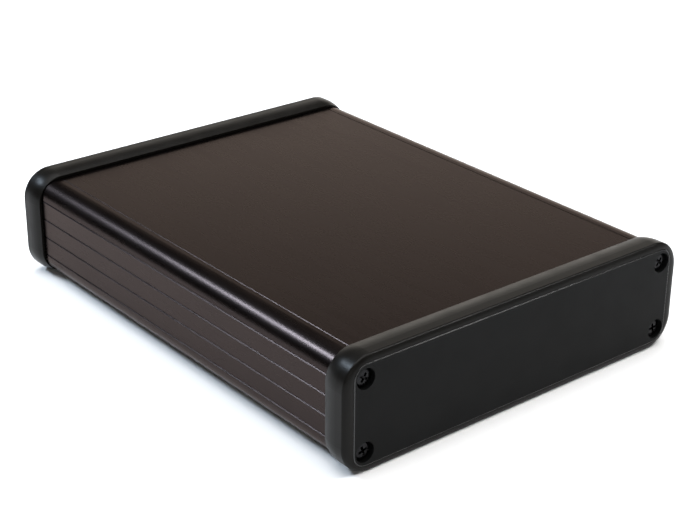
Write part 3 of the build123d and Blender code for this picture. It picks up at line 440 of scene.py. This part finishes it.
def finish_piece(name, bm, body, slot, material=None, stands_for=(), smooth=None):
    """Turns a mesh under construction into a piece that rides on a body."""
    bmesh.ops.recalc_face_normals(bm, faces=bm.faces)
    mesh = bpy.data.meshes.new(name)
    bm.to_mesh(mesh)
    bm.free()
    mesh.materials.append(material or MATERIALS[slot])
    if smooth is not None:
        mesh.shade_smooth()
        mesh.set_sharp_from_angle(angle=math.radians(smooth))
    piece = bpy.data.objects.new(name, mesh)
    bpy.context.scene.collection.objects.link(piece)
    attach(piece, body)
    if stands_for:
        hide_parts(*stands_for)
    return piece


def solids(name):
    """The (low, high) corners of each separate solid of a CAD node, sorted by place."""
    obj = nodes[name]
    points = [obj.matrix_world @ vertex.co for vertex in obj.data.vertices]
    keys = [tuple(round(c, 6) for c in point) for point in points]
    group = {key: key for key in keys}

    def leader(key):
        while group[key] != key:
            group[key] = group[group[key]]
            key = group[key]
        return key

    for face in obj.data.polygons:
        first = leader(keys[face.vertices[0]])
        for index in face.vertices[1:]:
            group[leader(keys[index])] = first
    found = {}
    for key, point in zip(keys, points):
        low, high = found.setdefault(leader(key), (list(point), list(point)))
        for axis in range(3):
            low[axis] = min(low[axis], point[axis])
            high[axis] = max(high[axis], point[axis])
    return [(Vector(low), Vector(high)) for low, high in sorted(found.values())]


# ------------------------------------------------------------------ case screws
SCREW_HEAD_HEIGHT = 1.5 * MM
SCREW_TIP = 1.5 * MM
THREAD_PITCH = 0.7 * MM
THREAD_ROOT = 1.12 * MM
THREAD_CREST = 1.38 * MM
FIRST_SCREW_TURN = 17  # degrees
NEXT_SCREW_TURN = 41


def cross_ring(arm, half_width, height):
    """The twelve corners of a cross at a height."""
    a, w = arm, half_width
    corners = [(a, -w), (a, w), (w, w), (w, a), (-w, a), (-w, w)]
    corners += [(-x, -y) for x, y in corners]
    return [(x, y, height) for x, y in corners]


def make_screw_head(radius):
    """A pan head, standing on z = 0, with a tapered cross recess cut into it."""
    head = bmesh.new()
    edge = 0.12 * MM
    top = SCREW_HEAD_HEIGHT
    profile = [(radius - edge, 0.0), (radius, edge), (radius, top * 0.5)]
    # the crown rounds in from halfway up, over these shares of the radius and the height
    inward, upward = 0.28, 0.42
    for step in range(1, 6):
        turn = math.radians(15 * step)
        across = radius * (1 - inward * (1 - math.cos(turn)))
        profile.append((across, top * (0.5 + upward * math.sin(turn))))
    profile += [(radius * 0.5, top * 0.97), (radius * 0.25, top * 0.99), (radius * 0.04, top)]
    turned(head, (0, 0, 0), (0, 0, 1), profile, sides=40)
    cutter = bmesh.new()
    loft(cutter, [
        cross_ring(arm=0.55 * MM, half_width=0.24 * MM, height=top - 1.05 * MM),
        cross_ring(arm=1.25 * MM, half_width=0.34 * MM, height=top - 0.45 * MM),
        cross_ring(arm=1.5 * MM, half_width=0.42 * MM, height=top + 0.2 * MM),
    ])
    made = []
    for name, bm in (("head", head), ("recess", cutter)):
        bmesh.ops.recalc_face_normals(bm, faces=bm.faces)
        mesh = bpy.data.meshes.new(name)
        bm.to_mesh(mesh)
        bm.free()
        obj = bpy.data.objects.new(name, mesh)
        bpy.context.scene.collection.objects.link(obj)
        made.append(obj)
    cut = made[0].modifiers.new("recess", "BOOLEAN")
    cut.object = made[1]
    cut.operation = "DIFFERENCE"
    cut.solver = "EXACT"
    graph = bpy.context.evaluated_depsgraph_get()
    result = bpy.data.meshes.new_from_object(made[0].evaluated_get(graph))
    for obj in made:
        bpy.data.objects.remove(obj)
    return result


def add_thread(bm, length):
    """A helical ridge down a screw's shank, which hangs below z = 0."""
    steps_per_turn = 24
    run_in, run_out = 8, 12  # steps over which the ridge rises and fades
    start, end = 0.5 * MM, length - 1.4 * MM
    steps = int((end - start) / THREAD_PITCH * steps_per_turn)
    half = THREAD_PITCH * 0.32
    buried = 0.08 * MM
    rings = []
    for step in range(steps + 1):
        turn = 2 * math.pi * step / steps_per_turn
        depth = -(start + THREAD_PITCH * step / steps_per_turn)
        fade = min(1.0, step / run_in, (steps - step) / run_out)
        crest = THREAD_ROOT + (THREAD_CREST - THREAD_ROOT) * fade
        spoke = Vector((math.cos(turn), math.sin(turn), 0.0))
        inner = spoke * (THREAD_ROOT - buried)
        rings.append([
            inner + Vector((0, 0, depth + half)),
            spoke * (crest + 0.001 * MM) + Vector((0, 0, depth)),  # a hair proud, clear of the shank
            inner + Vector((0, 0, depth - half)),
        ])
    loft(bm, rings)


def make_screws(node, body, outwards):
    """Pan-head screws with cross recesses and real threads, in place of the plain ones."""
    places = solids(node)
    low, high = places[0]
    radius = (high.x - low.x) / 2
    length = (high.y - low.y) - SCREW_HEAD_HEIGHT
    head = make_screw_head(radius)
    screw = bmesh.new()
    screw.from_mesh(head)
    shank = [
        (0.35 * MM, -length),
        (THREAD_ROOT * 0.9, -length + SCREW_TIP),
        (THREAD_ROOT, -length + 1.6 * SCREW_TIP),
        (THREAD_ROOT, -0.4 * MM),
        (THREAD_CREST, -0.2 * MM),
        (THREAD_CREST, 0.05 * MM),
    ]
    turned(screw, (0, 0, 0), (0, 0, 1), shank)
    add_thread(screw, length)
    one = bpy.data.meshes.new("one_screw")
    screw.to_mesh(one)
    screw.free()
    all_screws = bmesh.new()
    for number, (low, high) in enumerate(places):
        middle = (low + high) / 2
        seat = (low.y if outwards < 0 else high.y) - outwards * SCREW_HEAD_HEIGHT
        start = len(all_screws.verts)
        all_screws.from_mesh(one)
        all_screws.verts.ensure_lookup_table()
        spin = Matrix.Rotation(math.radians(FIRST_SCREW_TURN + NEXT_SCREW_TURN * number), 4, "Z")
        tilt = Vector((0, outwards, 0)).to_track_quat("Z", "X").to_matrix().to_4x4()
        place = Matrix.Translation((middle.x, seat, middle.z)) @ tilt @ spin
        for vertex in all_screws.verts[start:]:
            vertex.co = place @ vertex.co
    finish_piece(node + "_threaded", all_screws, body, "black_steel", stands_for=[node], smooth=32)


make_screws("front_screws", "front_end", -1)
make_screws("rear_screws", "rear_end", 1)


# ------------------------------------------------------------------ polished rims of the end panels
PANEL_CORNER = 4.2 * MM
PANEL_BEVEL = 0.3 * MM


def make_panel_rim(node, body, outwards):
    """The smooth rounded rim that runs round a panel's face, over its bevel."""
    low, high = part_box(node)
    middle_x, middle_z = (low.x + high.x) / 2, (low.z + high.z) / 2
    face = low.y if outwards < 0 else high.y
    steps = 8  # over each rounded corner

    def outline(inset, depth):
        """The panel's outline, drawn in by inset, at a depth below its face."""
        radius = PANEL_CORNER - inset
        across = (high.x - low.x) / 2 - inset - radius
        up = (high.z - low.z) / 2 - inset - radius
        points = []
        for quarter in range(4):
            side_x = 1 if quarter in (0, 3) else -1
            side_z = 1 if quarter in (0, 1) else -1
            for step in range(steps + 1):
                a = math.radians(90 * (quarter + step / steps))
                x = middle_x + side_x * across + radius * math.cos(a)
                z = middle_z + side_z * up + radius * math.sin(a)
                points.append((x, face - outwards * depth, z))
        return points

    shoulder = PANEL_BEVEL * 0.29  # how far a quarter circle's middle lies in from each side of its square
    bm = bmesh.new()
    rings = [
        outline(0.0, PANEL_BEVEL),
        outline(shoulder * 0.3, PANEL_BEVEL * 0.6),
        outline(shoulder, shoulder),
        outline(PANEL_BEVEL * 0.6, shoulder * 0.3),
        outline(PANEL_BEVEL, 0.0),
        outline(PANEL_BEVEL, PANEL_BEVEL),
    ]
    loft(bm, rings, closed=True)
    finish_piece(node + "_rim", bm, body, "panel_plastic", polished_plastic, smooth=50)


make_panel_rim("front_panel", "front_end", -1)
make_panel_rim("rear_panel", "rear_end", 1)


# ------------------------------------------------------------------ board details
BODY = "rear_end"  # the board and all that is on it ride with the rear end
board_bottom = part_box("main_board")[0].z
board_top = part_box("main_board")[1].z
BOARD_PARTS = (
    "logic_chip",
    "capture_memory",
    "usb_controller",
    "input_buffers",
    "configuration_flash",
    "reference_oscillator",
    "link_crystal",
    "power_inductors",
    "input_fuse",
    "regulators",
)
LEADED = {
    "logic_chip": "logic_chip_leads",
    "capture_memory": "capture_memory_leads",
    "usb_controller": "usb_controller_leads",
    "input_buffers": "input_buffer_leads",
    "configuration_flash": "configuration_flash_leads",
}
TWO_ENDED = ("termination_resistors", "decoupling_capacitors", "input_fuse")


def on_board(x, y):
    """A point on the board's top face."""
    return Vector((x, y, board_top))


def ridge(base, side, up, taper=0.8):
    """A cross-section of a ridge that stands on base: side is half its foot, and its top is narrower."""
    return [base - side, base + side, base + side * taper + up, base - side * taper + up]


def lead_feet(chips, leads):
    """For each lead: its foot, the way out from its chip, the way along its row and half its width."""
    bodies = solids(chips)
    for low, high in solids(leads):
        middle = (low + high) / 2
        body_low, body_high = min(bodies, key=lambda box: ((box[0] + box[1]) / 2 - middle).length)
        centre = (body_low + body_high) / 2
        across = Vector((1.0 if middle.x > centre.x else -1.0, 0.0, 0.0))
        along = Vector((0.0, 1.0 if middle.y > centre.y else -1.0, 0.0))
        if high.x - low.x > high.y - low.y:
            foot = on_board(high.x if across.x > 0 else low.x, middle.y)
            yield foot, across, along, (high.y - low.y) / 2
        else:
            foot = on_board(middle.x, high.y if along.y > 0 else low.y)
            yield foot, along, across, (high.x - low.x) / 2


def make_outlines():
    """Printed outlines round the larger parts, bars by the small ones and a first-pin dot by each chip."""
    bm = bmesh.new()
    half, thickness = 0.08 * MM, 0.02 * MM
    gap = 0.3 * MM
    arm = 1.1 * MM
    dot_gap = 0.7 * MM
    bar_gap = 0.35 * MM
    mark_gap, mark_half = 0.8 * MM, 1.2 * MM

    def bar(x0, y0, x1, y1):
        block(bm, (x0 - half, y0 - half, board_top), (x1 + half, y1 + half, board_top + thickness))

    for name in BOARD_PARTS:
        for low, high in solids(name):
            x0, x1, y0, y1 = low.x - gap, high.x + gap, low.y - gap, high.y + gap
            if name in LEADED:
                # only the corners are printed, so that the lines stay clear of the leads
                for x, inwards_x in ((x0, 1), (x1, -1)):
                    for y, inwards_y in ((y0, 1), (y1, -1)):
                        bar(min(x, x + inwards_x * arm), y, max(x, x + inwards_x * arm), y)
                        bar(x, min(y, y + inwards_y * arm), x, max(y, y + inwards_y * arm))
                dot = on_board(x0 - dot_gap, y0 - dot_gap)
                turned(bm, dot, (0, 0, 1), [(0.3 * MM, 0.0), (0.28 * MM, thickness)], sides=16)
            else:
                for y in (y0, y1):
                    bar(x0, y, x1, y)
                for x in (x0, x1):
                    bar(x, y0, x, y1)
    for name in ("termination_resistors", "decoupling_capacitors"):
        for low, high in solids(name):
            for x in (low.x - bar_gap, high.x + bar_gap):
                bar(x, low.y, x, high.y)
    for low, high in solids("capacitor_bases"):
        middle = (low + high) / 2
        # a cross beside the marked side of the can
        mark_x = low.x - mark_gap
        bar(mark_x, middle.y - mark_half, mark_x, middle.y + mark_half)
        bar(mark_x - mark_half, middle.y, mark_x + mark_half / 3, middle.y)
    finish_piece("printed_outlines", bm, BODY, "board_laminate", silkscreen)


def make_end_caps():
    """Plated caps wrapped round both ends of each small part."""
    bm = bmesh.new()
    skin = 0.02 * MM
    share = 0.22  # of the part's length, at each end
    for name in TWO_ENDED:
        for low, high in solids(name):
            cap = (high.y - low.y) * share
            for start, end in ((low.y - skin, low.y + cap), (high.y - cap, high.y + skin)):
                corner = (high.x + skin, end, high.z + skin)
                block(bm, (low.x - skin, start, board_top + skin), corner, edge=0.1 * MM)
    finish_piece("end_caps", bm, BODY, "tinned_lead", smooth=40)


def make_solder():
    """A concave fillet of solder at every lead's foot and at both ends of each small part."""
    bm = bmesh.new()

    def fillet(foot, away, half_width, reach, rise):
        """Solder that climbs to rise at a foot and thins out over reach in the direction away."""
        side = Vector((-away.y, away.x, 0.0)) * half_width
        steps = 5
        rings = []
        for step in range(steps + 1):
            part = step / steps
            up = Vector((0.0, 0.0, rise * (1 - part) ** 2 + 0.015 * MM))
            rings.append(ridge(foot + away * reach * part, side * (1.0 + 0.25 * part), up))
        loft(bm, rings)

    for chips, leads in LEADED.items():
        for foot, away, _, half_width in lead_feet(chips, leads):
            fillet(foot, away, half_width * 1.15, reach=0.3 * MM, rise=0.1 * MM)
    for name in TWO_ENDED:
        for low, high in solids(name):
            x, half_width = (low.x + high.x) / 2, (high.x - low.x) / 2
            rise = min(0.45 * MM, (high.z - low.z) * 0.6)
            for y, way in ((low.y, -1.0), (high.y, 1.0)):
                fillet(on_board(x, y), Vector((0.0, way, 0.0)), half_width, reach=0.5 * MM, rise=rise)
    finish_piece("solder_fillets", bm, BODY, "tinned_lead", smooth=50)


def trace(bm, points, width):
    """A raised copper run through points, as one straight bar per stretch."""
    up = Vector((0.0, 0.0, 0.03 * MM))
    for start, end in zip(points, points[1:]):
        along = (end - start).normalized()
        side = Vector((-along.y, along.x, 0.0)) * width / 2
        overrun = along * width * 0.2  # so that the bars of a bent run overlap
        loft(bm, [ridge(start - overrun, side, up), ridge(end + overrun, side, up)])


def make_traces_and_vias():
    """Copper runs that fan out from each chip's leads to plated holes, and wide runs for the supply."""
    runs = bmesh.new()
    vias = bmesh.new()
    signal_width, resistor_width, header_width, supply_width = 0.15 * MM, 0.3 * MM, 0.25 * MM, 2.4 * MM
    gap = 0.2 * MM  # from a pad to the run that starts at it
    via_pitch = 1.1 * MM

    def via(place, radius=0.3 * MM):
        profile = [
            (radius, 0.0),
            (radius * 0.95, 0.04 * MM),
            (radius * 0.6, 0.05 * MM),
            (radius * 0.5, 0.02 * MM),
            (radius * 0.2, 0.012 * MM),
        ]
        turned(vias, place, (0, 0, 1), profile, sides=16)

    for chips, leads in LEADED.items():
        for number, (foot, away, along_row, _) in enumerate(lead_feet(chips, leads)):
            # three lengths in turn keep neighbouring holes apart
            reach = away * (0.9 + 0.7 * (number % 3)) * MM
            end = foot + reach + along_row * 0.25 * MM
            trace(runs, [foot, foot + reach * 0.5, end], signal_width)
            via(end, 0.22 * MM)
    # a short run at each end of every termination resistor, and a plated hole beyond its front one
    resistors = solids("termination_resistors")
    stub = 1.0 * MM
    for low, high in resistors:
        x = (low.x + high.x) / 2
        trace(runs, [on_board(x, high.y + gap), on_board(x, high.y + stub)], resistor_width)
        trace(runs, [on_board(x, low.y - stub), on_board(x, low.y - gap)], resistor_width)
        via(on_board(x, low.y - 1.1 * stub))
    # one run from each column of the probe header towards the resistors
    legs = solids("probe_header_pins")
    leg_y = min(low.y for low, _ in legs) - gap
    row_y = max(high.y for _, high in resistors) + 0.9 * MM
    for low, high in legs:
        x = (low.x + high.x) / 2
        trace(runs, [on_board(x, row_y), on_board(x, leg_y)], header_width)
    # a wide run behind each inductor and regulator, ending at a row of plated holes
    for low, high in solids("power_inductors") + solids("regulators"):
        x = (low.x + high.x) / 2
        trace(runs, [on_board(x, high.y + 1.2 * MM), on_board(x, high.y + 4.0 * MM)], supply_width)
        for place in range(-2, 3):
            via(on_board(x + place * via_pitch, high.y + 4.6 * MM))
    finish_piece("copper_runs", runs, BODY, "board_laminate", mask_over_copper)
    finish_piece("plated_holes", vias, BODY, "tinned_lead", smooth=40)


def make_underside_joints():
    """Solder cones and clipped pin ends under the board, below everything whose pins go through it."""
    bm = bmesh.new()
    pin_joint = 0.85 * MM

    def joint(x, y, radius):
        profile = [
            (radius, 0.0),
            (radius * 0.8, 0.15 * MM),
            (radius * 0.5, 0.45 * MM),
            (radius * 0.36, 0.75 * MM),
            (radius * 0.34, 1.2 * MM),
            (radius * 0.2, 1.3 * MM),
        ]
        turned(bm, (x, y, board_bottom), (0, 0, -1), profile, sides=16)

    for low, high in solids("service_header_pins"):
        joint((low.x + high.x) / 2, (low.y + high.y) / 2, pin_joint)
    # the probe header's pins are bent, and only their front ends go through the board
    for low, high in solids("probe_header_pins"):
        joint((low.x + high.x) / 2, low.y + 0.32 * MM, pin_joint)
    for node, inset, radius in (
        ("usb_shell", 2.0 * MM, 1.3 * MM),
        ("power_jack_body", 1.6 * MM, 1.4 * MM),
        ("arm_switch_body", 1.0 * MM, 0.8 * MM),
        ("trigger_socket_body", 2.2 * MM, 1.5 * MM),
    ):
        low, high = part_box(node)
        # a socket reaches past the board's rear edge, but its legs don't
        rear_leg_y = min(high.y, rear_face_y - 5.0 * MM) - inset
        for x in (low.x + inset, high.x - inset):
            for y in (low.y + inset, rear_leg_y):
                joint(x, y, radius)
    finish_piece("underside_joints", bm, BODY, "tinned_lead", smooth=40)


def make_can_tops():
    """The dark polarity mark and the vent score on top of each supply capacitor."""
    marks = bmesh.new()
    score = bmesh.new()
    inset = 0.75 * MM
    lift = 0.03 * MM
    groove_half = 0.09 * MM
    steps = 16
    for low, high in solids("bulk_capacitors"):
        middle = (low + high) / 2
        radius = (high.x - low.x) / 2 - inset
        angles = [math.radians(120 + 120 * i / steps) for i in range(steps + 1)]
        ring = [(middle.x + radius * math.cos(a), middle.y + radius * math.sin(a)) for a in angles]
        loft(marks, [[(x, y, high.z - lift) for x, y in ring], [(x, y, high.z) for x, y in ring]])
        base = Vector((middle.x, middle.y, high.z - lift))
        up = Vector((0.0, 0.0, lift * 0.98))
        for turn in (0, 60, 120):
            a = math.radians(turn)
            along = Vector((math.cos(a), math.sin(a), 0.0)) * radius * 0.8
            side = Vector((-math.sin(a), math.cos(a), 0.0)) * groove_half
            loft(score, [ridge(base - along, side, up, taper=0.3), ridge(base + along, side, up, taper=0.3)])
    finish_piece("capacitor_marks", marks, BODY, "black_base")
    finish_piece("capacitor_vents", score, BODY, "capacitor_can")


def make_terminals():
    """Folded tabs at the feet of the inductors and supply capacitors, and up both ends of the inductors."""
    bm = bmesh.new()
    tab_height, tab_edge = 0.25 * MM, 0.08 * MM
    inductor_half = 1.2 * MM
    buried, proud = 0.02 * MM, 0.12 * MM
    climb = 0.75  # of the inductor's height
    for name, half_width, reach in (
        ("power_inductors", inductor_half, 0.5 * MM),
        ("capacitor_bases", 0.4 * MM, 0.9 * MM),
    ):
        for low, high in solids(name):
            x = (low.x + high.x) / 2
            for y0, y1 in ((high.y, high.y + reach), (low.y - reach, low.y)):
                corner = (x + half_width, y1, board_top + tab_height)
                block(bm, (x - half_width, y0, board_top), corner, edge=tab_edge)
    for low, high in solids("power_inductors"):
        x = (low.x + high.x) / 2
        top = board_top + (high.z - board_top) * climb
        for y0, y1 in ((low.y - proud, low.y + buried), (high.y - buried, high.y + proud)):
            block(bm, (x - inductor_half, y0, board_top), (x + inductor_half, y1, top))
    finish_piece("soldered_tabs", bm, BODY, "tinned_lead", smooth=40)


make_outlines()
make_end_caps()
make_solder()
make_traces_and_vias()
make_underside_joints()
make_can_tops()
make_terminals()
